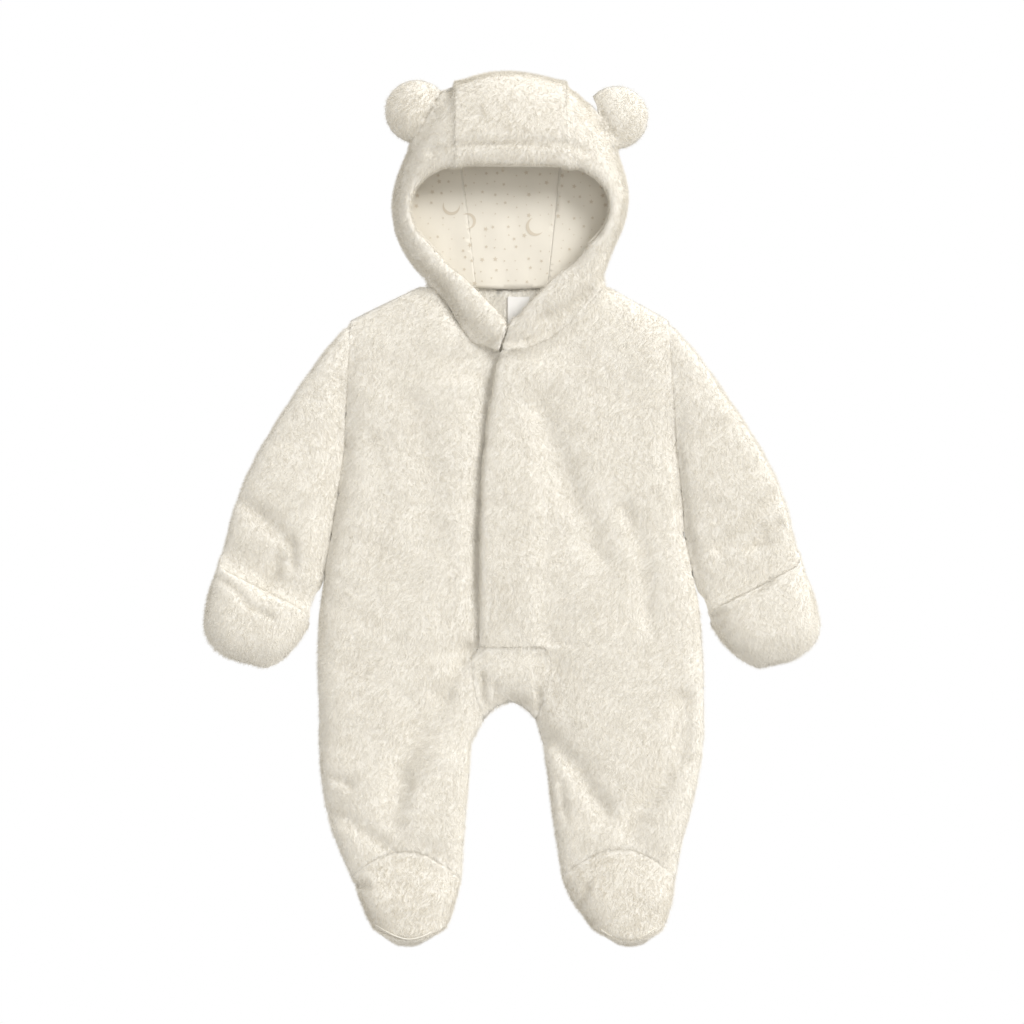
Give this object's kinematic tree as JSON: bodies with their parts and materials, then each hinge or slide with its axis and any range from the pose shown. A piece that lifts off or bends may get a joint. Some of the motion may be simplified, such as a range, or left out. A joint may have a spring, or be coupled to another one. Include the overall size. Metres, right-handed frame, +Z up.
{
  "type": "footed sleepsuit",
  "caption": "Baby's plush footed all-in-one laid flat, with a round-eared hood lined in printed jersey, an overlapping front, fold-over mitts and closed feet.",
  "frame": {"origin": "centre of the bounding box, at the flat underside that rests on the surface", "axes": "+Y towards the hood, +Z up out of the front, so the wearer's right is at -X"},
  "size_m": [0.539, 0.7683, 0.057],
  "materials": {
    "plush": "deep soft pile",
    "jersey": "smooth knit with a small night-sky print",
    "tape": "woven satin"
  },
  "bodies": {
    "root": {"front_right": "plush", "front_left": "plush", "crotch_gusset": "plush", "back_right": "plush", "back_left": "plush", "sleeve_right": "plush", "sleeve_left": "plush", "mitt_right_front": "plush", "mitt_left_front": "plush", "mitt_right_back": "plush", "mitt_left_back": "plush", "foot_upper_right": "plush", "foot_upper_left": "plush", "foot_sole_right": "plush", "foot_sole_left": "plush", "hood_centre": "plush", "hood_side_right": "plush", "hood_side_left": "plush", "hood_lining_centre": "jersey", "hood_lining_right": "jersey", "hood_lining_left": "jersey", "ear_right_front": "plush", "ear_right_back": "plush", "ear_left_front": "plush", "ear_left_back": "plush", "neck_label": "tape"}
  },
  "joints": []
}
